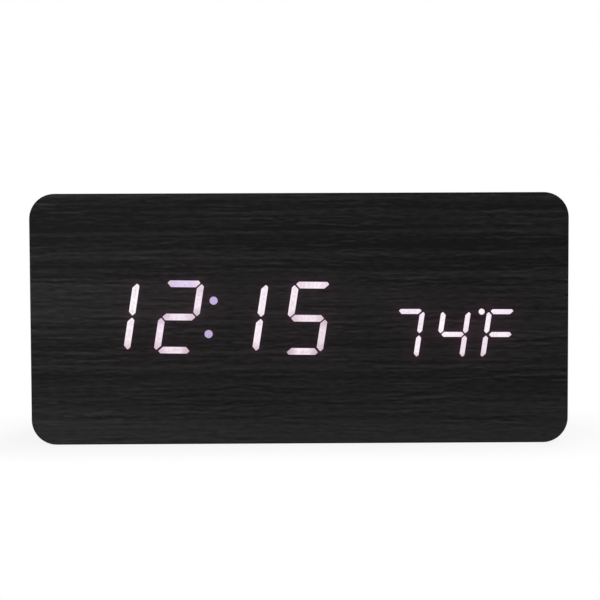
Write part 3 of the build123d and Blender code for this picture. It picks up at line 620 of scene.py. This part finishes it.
def figure_light(lines, mottle):
    """White light, tinted in spots, dull at the bars' ends and in flecks along their middles.

    Where a spot is uneven, the light is whiter over the LEDs. The ends are dullest there and at the feet
    of the figures.
    """
    def paint(shader):
        x, _, z = shader.split(shader.place())
        place = shader.join(x, 0.0, z)
        colour = LIGHT_WHITE
        uneven = 0.0
        for (spot_x, spot_z), reach, tint, spot_uneven in TINT_SPOTS:
            distance = shader.vector("DISTANCE", place, (spot_x * MM, 0.0, spot_z * MM))
            share = shader.span(distance, reach * MM, TINT_CORE * reach * MM, smooth=True)
            colour = shader.mix(share, colour, tint)
            change = shader.math("SUBTRACT", spot_uneven, uneven)
            uneven = shader.math("MULTIPLY_ADD", share, change, uneven)
        led = halo_strength(shader, x, z, lines, LED_SHARE)
        over_led = shader.math("MULTIPLY", shader.span(led, *WHITENED_GLOW, 0.0, LED_WHITENING), uneven)
        colour = shader.mix(over_led, colour, LIGHT_WHITE)
        feet = min(centre[1] for centre, _, _ in lines)
        low = shader.span(z, feet, CASE_MIDDLE.z, 1.0, UPPER_DULLNESS)
        end = shader.math("MULTIPLY", shader.span(led, *DULL_END_GLOW), shader.math("MAXIMUM", low, uneven))
        core = shader.span(halo_strength(shader, x, z, lines), *FLECKED_GLOW)
        fleck = shader.span(shader.noise(place, scale=1300.0), *FLECK_NOISE, 0.0, mottle)
        dull = shader.math("MAXIMUM", end, shader.math("MULTIPLY", core, fleck))
        return lit_light(shader, shader.mix(dull, colour, LIGHT_DUSK))
    return paint


def colon_light(shader):
    """The colon's dots, in one colour."""
    return lit_light(shader, COLON_VIOLET)


# Plastics, wood, metal and the small parts inside

def moulded(colour, roughness, specular, grain, depth, variation):
    """A moulded plastic with an even spark texture. variation is the share by which its colour differs."""
    def paint(shader):
        place = shader.place()
        spark = shader.noise(place, scale=1 / grain, roughness=0.6)
        cloud = shader.noise(place, scale=45.0)
        tone = shader.math("ADD", shader.math("MULTIPLY", cloud, CLOUD_SHARE),
                           shader.math("MULTIPLY", spark, 1 - CLOUD_SHARE))
        dark, light = shaded(colour, 1 - variation), shaded(colour, 1 + variation)
        return {
            "Base Color": shader.mix(shader.spread(tone), dark, light),
            "Roughness": shader.spread(spark, roughness - ROUGHNESS_SPREAD, roughness + ROUGHNESS_SPREAD),
            "Specular IOR Level": specular,
            "Normal": shader.bump(spark, strength=0.7, distance=depth),
        }
    return paint


def fibreboard(shader):
    """Dyed fibreboard: short fibres, pressed flat."""
    place = shader.place()
    fibres = shader.noise(place, scale=700.0, detail=3.0, roughness=0.7)
    flecks = shader.span(shader.cells(place, scale=900.0), 0.0, FIBRE_FLECK_SIZE, FIBRE_FLECK_SHARE, 0.0)
    return {
        "Base Color": shader.mix(flecks, shader.mix(fibres, FIBRE_DARK, FIBRE_PALE), FIBRE_FLECK),
        "Roughness": shader.spread(fibres, 0.8, 0.95),
        "Specular IOR Level": 0.12,
        "Normal": shader.bump(fibres, strength=0.6, distance=0.1 * MM),
    }


def metal(colour, roughness):
    """Sheet or wire metal with fine scratches along X and dull patches."""
    def paint(shader):
        x, y, z = shader.split(shader.place())
        stretched = shader.join(shader.math("MULTIPLY", x, SCRATCH_STRETCH), y, z)
        scratches = shader.noise(stretched, scale=2500.0)
        dull = shader.noise(shader.place(), scale=260.0)
        return {
            "Base Color": shader.mix(dull, shaded(colour, TARNISH), colour),
            "Metallic": 1.0,
            "Roughness": shader.spread(scratches, roughness - ROUGHNESS_SPREAD,
                                       roughness + SCRATCH_ROUGHNESS),
            "Normal": shader.bump(scratches, strength=0.2, distance=0.02 * MM),
        }
    return paint


def circuit_board(shader):
    """Solder mask with copper tracks under it, and tinned pads."""
    x, _, z = shader.split(shader.place())
    place = shader.join(x, 0.0, z)
    copper = shader.span(shader.cells(place, scale=330.0, distance="MANHATTAN"), *TRACK_EDGE)
    pads = shader.span(shader.cells(place, scale=420.0), *PAD_EDGE)
    return {
        "Base Color": shader.mix(pads, shader.mix(copper, MASK_GREEN, MASK_OVER_COPPER), PAD_TIN),
        "Roughness": shader.span(pads, 0.0, 1.0, to_low=0.38, to_high=0.25),
        "Specular IOR Level": 0.4,
        "Normal": shader.bump(copper, strength=0.4, distance=0.04 * MM),
    }


def ribbon(shader):
    """A flat cable: grey strands side by side, with a red one at the edge, and painted shade in the grooves
    between the grey strands.
    """
    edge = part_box("ribbon_cable")[0].x
    x = shader.split(shader.place())["X"]
    strand = shader.math("FRACT", shader.math("DIVIDE", shader.math("SUBTRACT", x, edge), STRAND_PITCH))
    round_top = shader.math("SINE", shader.math("MULTIPLY", strand, math.pi))
    # Painted shade: darker towards each strand's sides, in the grooves between strands
    grey = shader.mix(shader.math("POWER", round_top, STRAND_CONTRAST), STRAND_GROOVE_SHADE, STRAND_GREY)
    red = shader.math("LESS_THAN", x, edge + STRAND_PITCH)
    return {
        "Base Color": shader.mix(red, grey, STRAND_RED),
        "Roughness": shader.span(round_top, 0.0, 1.0, to_low=0.6, to_high=0.42),
        "Normal": shader.bump(round_top, strength=0.8, distance=0.25 * MM),
    }


def insulation(colour):
    """Soft lead insulation."""
    def paint(shader):
        cloud = shader.noise(shader.place(), scale=500.0)
        return {
            "Base Color": shader.mix(cloud, shaded(colour, INSULATION_SHADE), colour),
            "Roughness": shader.spread(cloud, 0.42, 0.58),
            "Specular IOR Level": 0.4,
        }
    return paint


def cell_label(shader):
    """Round cells: a blue sleeve with a pale band and a plus sign, and bare metal at both ends.

    The raised end lies towards +X, and that of the cell in the middle row the other way.
    """
    low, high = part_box("battery_cells")
    middle_x = (low.x + high.x) / 2
    x, _, z = shader.split(shader.place())
    middle_row = shader.math("COMPARE", z, CASE_MIDDLE.z, CELL_PITCH / 2)
    way = shader.math("MULTIPLY_ADD", middle_row, -2.0, 1.0)
    from_middle = shader.math("SUBTRACT", x, middle_x)
    depth = shader.math("SUBTRACT", high.x - middle_x, shader.math("MULTIPLY", from_middle, way))
    sleeve = shader.between(depth, CELL_TIP, CELL_LENGTH - CELL_FOOT)
    band = shader.between(depth, CELL_TIP, CELL_BAND_END)
    line = shader.between(depth, CELL_BAND_END, CELL_LINE_END)
    along = shader.math("ABSOLUTE", shader.math("SUBTRACT", depth, CELL_MARK_DEPTH))
    row = shader.math("WRAP", shader.math("SUBTRACT", z, CASE_MIDDLE.z), -CELL_PITCH / 2, CELL_PITCH / 2)
    across = shader.math("ABSOLUTE", row)
    in_cross = shader.math("LESS_THAN", shader.math("MAXIMUM", along, across), CELL_MARK_HALF)
    on_arm = shader.math("LESS_THAN", shader.math("MINIMUM", along, across), CELL_MARK_STROKE / 2)
    cloud = shader.noise(shader.place(), scale=300.0)
    colour = shader.mix(cloud, CELL_DARK_BLUE, CELL_BLUE)
    colour = shader.mix(band, colour, CELL_BAND_GREY)
    colour = shader.mix(line, colour, CELL_LINE_WHITE)
    colour = shader.mix(shader.math("MULTIPLY", in_cross, on_arm), colour, CELL_MARK_BLACK)
    return {
        "Base Color": shader.mix(sleeve, CELL_METAL, colour),
        "Metallic": shader.math("SUBTRACT", 1.0, sleeve),
        "Roughness": shader.spread(cloud, 0.26, 0.36),
    }


def capacitor_sleeve(shader):
    """A black sleeve with a grey stripe, and a bare metal top."""
    low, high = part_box("smoothing_capacitor")
    x, y, _ = shader.split(shader.place())
    top = shader.math("GREATER_THAN", y, high.y - CAPACITOR_TOP)
    stripe = shader.math("LESS_THAN", x, low.x + CAPACITOR_STRIPE)
    cloud = shader.noise(shader.place(), scale=400.0)
    return {
        "Base Color": shader.mix(top, shader.mix(stripe, CAPACITOR_BLACK, CAPACITOR_GREY), CAPACITOR_METAL),
        "Metallic": top,
        "Roughness": shader.spread(cloud, 0.3, 0.42),
    }


def led_package(shader):
    """A white package with a yellow lens."""
    cloud = shader.noise(shader.place(), scale=1200.0)
    face = shader.math("LESS_THAN", shader.split(shader.normal())["Y"], -FACING)
    return {
        "Base Color": shader.mix(shader.math("MULTIPLY", face, cloud), LED_WHITE, LED_YELLOW),
        "Roughness": shader.spread(cloud, 0.3, 0.5),
    }


def mark_paint(shader):
    """Pale paint on a raised mark, thin in places."""
    thin = shader.noise(shader.place(), scale=900.0)
    return {
        "Base Color": shader.mix(thin, MARK_THIN_GREY, MARK_GREY),
        "Roughness": shader.spread(thin, 0.6, 0.45),
        "Specular IOR Level": 0.3,
    }


def button_paint(name):
    """A smooth push button whose sunken mark is filled with pale paint."""
    plastic = moulded(BUTTON_BLACK, roughness=0.42, specular=0.3, grain=0.5 * MM, depth=0.015 * MM,
                      variation=0.2)

    def paint(shader):
        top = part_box(name)[1].y
        deepest, shallowest = BUTTON_MARK_DEPTHS
        look = plastic(shader)
        facing = shader.math("GREATER_THAN", shader.split(shader.normal())["Y"], FACING)
        sunk = shader.between(shader.split(shader.place())["Y"], top - deepest, top - shallowest)
        painted = shader.math("MULTIPLY", facing, sunk)
        look["Base Color"] = shader.mix(painted, look["Base Color"], MARK_GREY)
        return look
    return paint


def make_materials():
    """Makes a material for every CAD node and puts it on. Gives back the rear cover's."""
    cover = moulded(COVER_BLACK, roughness=0.5, specular=0.3, grain=0.45 * MM, depth=0.25 * MM,
                    variation=0.4)
    white = moulded(PLASTIC_WHITE, roughness=0.4, specular=0.45, grain=0.4 * MM, depth=0.02 * MM,
                    variation=0.05)
    chip = moulded(CHIP_BLACK, roughness=0.6, specular=0.35, grain=0.15 * MM, depth=0.02 * MM,
                   variation=0.25)
    rows = (
        ("front_film", front_film, "front_veneer", "time_light_guides_dark",
         "temperature_light_guides_dark"),
        ("wrap_film", wrap_film, "wrap_veneer"),
        ("time_light", figure_light(TIME_LINES, TIME_MOTTLE), "time_light_guides_lit"),
        ("temperature_light", figure_light(TEMPERATURE_LINES, TEMPERATURE_MOTTLE),
         "temperature_light_guides_lit"),
        ("colon_light", colon_light, "colon_light_guides"),
        ("dyed_fibreboard", fibreboard, "wood_case", "front_panel"),
        ("cover_plastic", cover, "rear_cover", "battery_door", "battery_box"),
        ("set_button_plastic", button_paint("set_button"), "set_button"),
        ("up_button_plastic", button_paint("up_button"), "up_button"),
        ("down_button_plastic", button_paint("down_button"), "down_button"),
        ("white_plastic", white, "time_reflector", "temperature_reflector", "set_plunger", "up_plunger",
         "down_plunger"),
        ("led_package", led_package, "time_leds", "temperature_leds"),
        ("circuit_board", circuit_board, "display_board", "control_board"),
        ("chip_plastic", chip, "clock_chip", "driver_chips", "ribbon_sockets", "tact_switch_bodies",
         "socket_tongue", "buzzer"),
        ("black_screw", metal(SCREW_BLACK, roughness=0.38), "rear_cover_screws"),
        ("bright_steel", metal(STEEL, roughness=0.28), "display_board_screws", "control_board_screws",
         "quartz_crystal", "power_socket", "battery_contacts", "battery_springs"),
        ("cell_label", cell_label, "battery_cells"),
        ("red_insulation", insulation(LEAD_RED), "battery_lead_red"),
        ("black_insulation", insulation(LEAD_BLACK), "battery_lead_black"),
        ("ribbon", ribbon, "ribbon_cable"),
        ("capacitor_sleeve", capacitor_sleeve, "smoothing_capacitor"),
        ("sensor_epoxy", insulation(SENSOR_BLACK), "temperature_sensor"),
    )
    materials = {}
    for name, paint, *nodes in rows:
        materials[name] = new_material(name, paint)
        for node in nodes:
            for slot in NODES[node].material_slots:
                slot.material = materials[name]
    return materials["cover_plastic"]


# Small pieces

def add_prism(shape, outline, lift):
    """A closed prism: a flat outline, and the same outline moved by lift."""
    first = [shape.verts.new(point) for point in outline]
    last = [shape.verts.new(Vector(point) + Vector(lift)) for point in outline]
    shape.faces.new(first[::-1])
    shape.faces.new(last)
    for index in range(len(outline)):
        shape.faces.new((first[index - 1], first[index], last[index], last[index - 1]))


def new_piece(name, prisms, material, body, rounding):
    """A piece made of prisms with rounded edges, riding on a body."""
    shape = bmesh.new()
    for outline, lift in prisms:
        add_prism(shape, outline, lift)
    bmesh.ops.recalc_face_normals(shape, faces=shape.faces)
    mesh = bpy.data.meshes.new(name)
    shape.to_mesh(mesh)
    shape.free()
    mesh.materials.append(material)
    piece = bpy.data.objects.new(name, mesh)
    bpy.context.scene.collection.objects.link(piece)
    bevel = piece.modifiers.new("rounding", "BEVEL")
    bevel.width = rounding
    bevel.segments = ROUNDING_SEGMENTS
    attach(piece, body)


def rectangle(x, z, y):
    """A rectangle that faces +Y, from its spans along X and Z."""
    return [(x[0], y, z[0]), (x[1], y, z[0]), (x[1], y, z[1]), (x[0], y, z[1])]


def around(middle, width):
    """The ends of a span."""
    return middle - width / 2, middle + width / 2


def spaced(count, pitch):
    """Places at a pitch, about 0."""
    return [(index - (count - 1) / 2) * pitch for index in range(count)]


def make_door_arrow(material):
    """A raised arrow beside the latch: push this way to open."""
    low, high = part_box("battery_door")
    x = low.x + LATCH_LENGTH + ARROW_GAP
    neck = x + ARROW_LENGTH - ARROW_HEAD
    middle = (low.z + high.z) / 2
    half, shaft = ARROW_WIDTH / 2, ARROW_SHAFT / 2
    places = [(x, -shaft), (neck, -shaft), (neck, -half), (x + ARROW_LENGTH, 0.0),
              (neck, half), (neck, shaft), (x, shaft)]
    outline = [(place_x, high.y, middle + place_z) for place_x, place_z in places]
    prisms = [(outline, (0.0, MARK_HEIGHT, 0.0))]
    new_piece("door_arrow", prisms, material, "battery_door", MARK_ROUND)


def make_door_ribs(material):
    """Two ribs inside the door, which keep the cells in their rows."""
    low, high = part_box("battery_door")
    inner_y = high.y - DOOR_THICKNESS
    x = (low.x + LATCH_LENGTH + RIB_MARGIN, high.x - LATCH_LENGTH)
    prisms = []
    for side in (-1, 1):
        z = around((low.z + high.z) / 2 + side * CELL_PITCH / 2, RIB_THICKNESS)
        prisms.append((rectangle(x, z, inner_y - RIB_HEIGHT), (0.0, RIB_HEIGHT, 0.0)))
    new_piece("door_ribs", prisms, material, "battery_door", MARK_ROUND)


def make_supply_mark(material):
    """The sign for direct current under the power socket: a line over three dashes."""
    low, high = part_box("power_socket")
    cover_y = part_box("rear_cover")[1].y
    middle_x = (low.x + high.x) / 2
    line_z = (low.z + high.z) / 2 - SUPPLY_MARK_DROP
    spans = [(around(middle_x, SUPPLY_MARK_WIDTH), line_z)]
    for side in (-1, 0, 1):
        dash_x = middle_x + side * (SUPPLY_MARK_WIDTH - SUPPLY_DASH) / 2
        spans.append((around(dash_x, SUPPLY_DASH), line_z - SUPPLY_MARK_STEP))
    prisms = []
    for x, z in spans:
        prisms.append((rectangle(x, around(z, SUPPLY_MARK_STROKE), cover_y), (0.0, MARK_HEIGHT, 0.0)))
    new_piece("supply_mark", prisms, material, "clock", MARK_ROUND)


def make_socket_contacts(material):
    """Gilt contact strips along the upper face of the socket's tongue."""
    low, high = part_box("socket_tongue")
    middle_x = (low.x + high.x) / 2
    top_z = (low.z + high.z) / 2 + TONGUE_THICKNESS / 2
    y = high.y - STRIP_SETBACK
    prisms = []
    for offset in spaced(STRIP_COUNT, STRIP_PITCH):
        left, right = around(middle_x + offset, STRIP_WIDTH)
        tip_left, tip_right = around(middle_x + offset, STRIP_WIDTH / 2)
        places = [(left, y - STRIP_LENGTH), (right, y - STRIP_LENGTH), (right, y - STRIP_WIDTH / 2),
                  (tip_right, y), (tip_left, y), (left, y - STRIP_WIDTH / 2)]
        outline = [(place_x, place_y, top_z) for place_x, place_y in places]
        prisms.append((outline, (0.0, 0.0, STRIP_THICKNESS)))
    new_piece("socket_contacts", prisms, material, "clock", STRIP_ROUND)


def lead_row(chip_height, side, out, along, count, pitch, width):
    """A row of bent leads on one side of a chip. side is the middle of that side on the board."""
    shoulder = chip_height / 2
    wing = [(-LEAD_ROOT, shoulder + LEAD_THICKNESS), (LEAD_SHOULDER, shoulder + LEAD_THICKNESS),
            (LEAD_ANKLE, LEAD_THICKNESS), (LEAD_REACH, LEAD_THICKNESS),
            (LEAD_REACH, 0.0), (LEAD_ANKLE - LEAD_THICKNESS, 0.0),
            (LEAD_SHOULDER - LEAD_THICKNESS, shoulder), (-LEAD_ROOT, shoulder)]
    prisms = []
    for offset in spaced(count, pitch):
        start = side + along * (offset - width / 2)
        outline = [start + out * reach + Vector((0.0, height, 0.0)) for reach, height in wing]
        prisms.append((outline, along * width))
    return prisms


def make_chip_leads(material):
    """Bent leads around the clock chip and along both sides of the driver chips."""
    right, up = Vector((1.0, 0.0, 0.0)), Vector((0.0, 0.0, 1.0))
    low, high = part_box("clock_chip")
    height = high.y - low.y
    half = (high.x - low.x) / 2
    middle = Vector(((low.x + high.x) / 2, low.y, (low.z + high.z) / 2))
    prisms = []
    for out, along in ((right, up), (-right, up), (up, right), (-up, right)):
        prisms += lead_row(height, middle + out * half, out, along, CLOCK_CHIP_LEADS, CLOCK_CHIP_PITCH,
                           CLOCK_CHIP_LEAD_WIDTH)
    low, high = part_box("driver_chips")
    height = high.y - low.y
    half = (high.z - low.z) / 2
    for chip_x in (low.x + DRIVER_CHIP_WIDTH / 2, high.x - DRIVER_CHIP_WIDTH / 2):
        middle = Vector((chip_x, low.y, (low.z + high.z) / 2))
        for out in (up, -up):
            prisms += lead_row(height, middle + out * half, out, right, DRIVER_CHIP_LEADS,
                               DRIVER_CHIP_PITCH, DRIVER_CHIP_LEAD_WIDTH)
    new_piece("chip_leads", prisms, material, "clock", LEAD_ROUND)


def make_pieces(cover):
    """The pieces that the scene adds to the CAD nodes."""
    make_door_arrow(cover)
    make_door_ribs(cover)
    make_supply_mark(new_material("mark_paint", mark_paint))
    make_socket_contacts(new_material("gilt", metal(GILT, roughness=0.25)))
    make_chip_leads(new_material("tinned_lead", metal(TIN, roughness=0.3)))


# Stage, light and camera

def seen_white(shader):
    """1 for the rays that see the white background: from the camera, or by way of a mirror or glass."""
    path = shader.add("ShaderNodeLightPath").outputs
    shown = shader.math("MAXIMUM", path["Is Camera Ray"], path["Is Glossy Ray"])
    return shader.math("MAXIMUM", shown, path["Is Transmission Ray"])


def make_world():
    """Even light from all around, seen as white."""
    world = bpy.data.worlds.new("studio")
    bpy.context.scene.world = world
    shader = empty_shader(world)
    light = shader.add("ShaderNodeBackground", {"Color": WHITE, "Strength": STUDIO_GREY}).outputs[0]
    white = shader.add("ShaderNodeBackground", {"Color": WHITE, "Strength": 1.0}).outputs[0]
    mixed = shader.add("ShaderNodeMixShader", {0: seen_white(shader), 1: light, 2: white}).outputs[0]
    shader.add("ShaderNodeOutputWorld", {"Surface": mixed})


def make_floor():
    """A white floor that shows only a part of the shadow on it."""
    mesh = bpy.data.meshes.new("floor")
    half = FLOOR_SIZE / 2
    height = CASE_LOW.z - FLOOR_DROP
    corners = [(-half, -half, height), (half, -half, height), (half, half, height), (-half, half, height)]
    mesh.from_pydata(corners, [], [(0, 1, 2, 3)])
    floor = bpy.data.objects.new("floor", mesh)
    bpy.context.scene.collection.objects.link(floor)
    material = bpy.data.materials.new("floor")
    shader = empty_shader(material)
    paper = shader.add("ShaderNodeBsdfDiffuse", {"Color": FLOOR_COLOUR}).outputs[0]
    white = shader.add("ShaderNodeEmission", {"Color": WHITE, "Strength": 1.0}).outputs[0]
    x, y, _ = shader.split(shader.place())
    past_x = shader.math("SUBTRACT", shader.math("ABSOLUTE", x), CASE_HALF.x)
    past_y = shader.math("SUBTRACT", shader.math("ABSOLUTE", y), CASE_HALF.y)
    distance = shader.outside(past_x, past_y)
    shadow = shader.span(distance, 0.0, FLOOR_SHADOW_REACH, FLOOR_SHADOW_SHARE, 0.0, smooth=True)
    share = shader.math("MULTIPLY", seen_white(shader), shader.math("SUBTRACT", 1.0, shadow))
    mixed = shader.add("ShaderNodeMixShader", {0: share, 1: paper, 2: white}).outputs[0]
    shader.add("ShaderNodeOutputMaterial", {"Surface": mixed})
    mesh.materials.append(material)


def make_lamp(name, place, target, size, power):
    """A square lamp that faces a target."""
    data = bpy.data.lights.new(name, "AREA")
    data.shape = "SQUARE"
    data.size = size
    data.energy = power
    lamp = bpy.data.objects.new(name, data)
    lamp.location = place
    lamp.rotation_euler = (Vector(target) - Vector(place)).to_track_quat("-Z", "Y").to_euler()
    bpy.context.scene.collection.objects.link(lamp)


def make_camera():
    """The camera at the photograph's viewing angle."""
    azimuth, elevation = math.radians(CAMERA_AZIMUTH), math.radians(CAMERA_ELEVATION)
    back = Vector((math.sin(azimuth) * math.cos(elevation), -math.cos(azimuth) * math.cos(elevation),
                   math.sin(elevation)))
    right = Vector((0.0, 0.0, 1.0)).cross(back).normalized()
    up = back.cross(right)
    turn = Matrix.Rotation(math.radians(CAMERA_ROLL), 3, back)
    right, up = turn @ right, turn @ up
    data = bpy.data.cameras.new("camera")
    data.sensor_width = SENSOR_WIDTH
    data.lens = CAMERA_LENS
    camera = bpy.data.objects.new("camera", data)
    camera.matrix_world = Matrix((right, up, back)).transposed().to_4x4()
    camera.location = CAMERA_TARGET + back * CAMERA_DISTANCE
    bpy.context.scene.collection.objects.link(camera)
    bpy.context.scene.camera = camera


make_pieces(make_materials())
make_world()
make_floor()
for lamp_name, lamp_values in LAMPS.items():
    make_lamp(lamp_name, *lamp_values)
make_camera()
bpy.context.scene.view_settings.view_transform = "Standard"
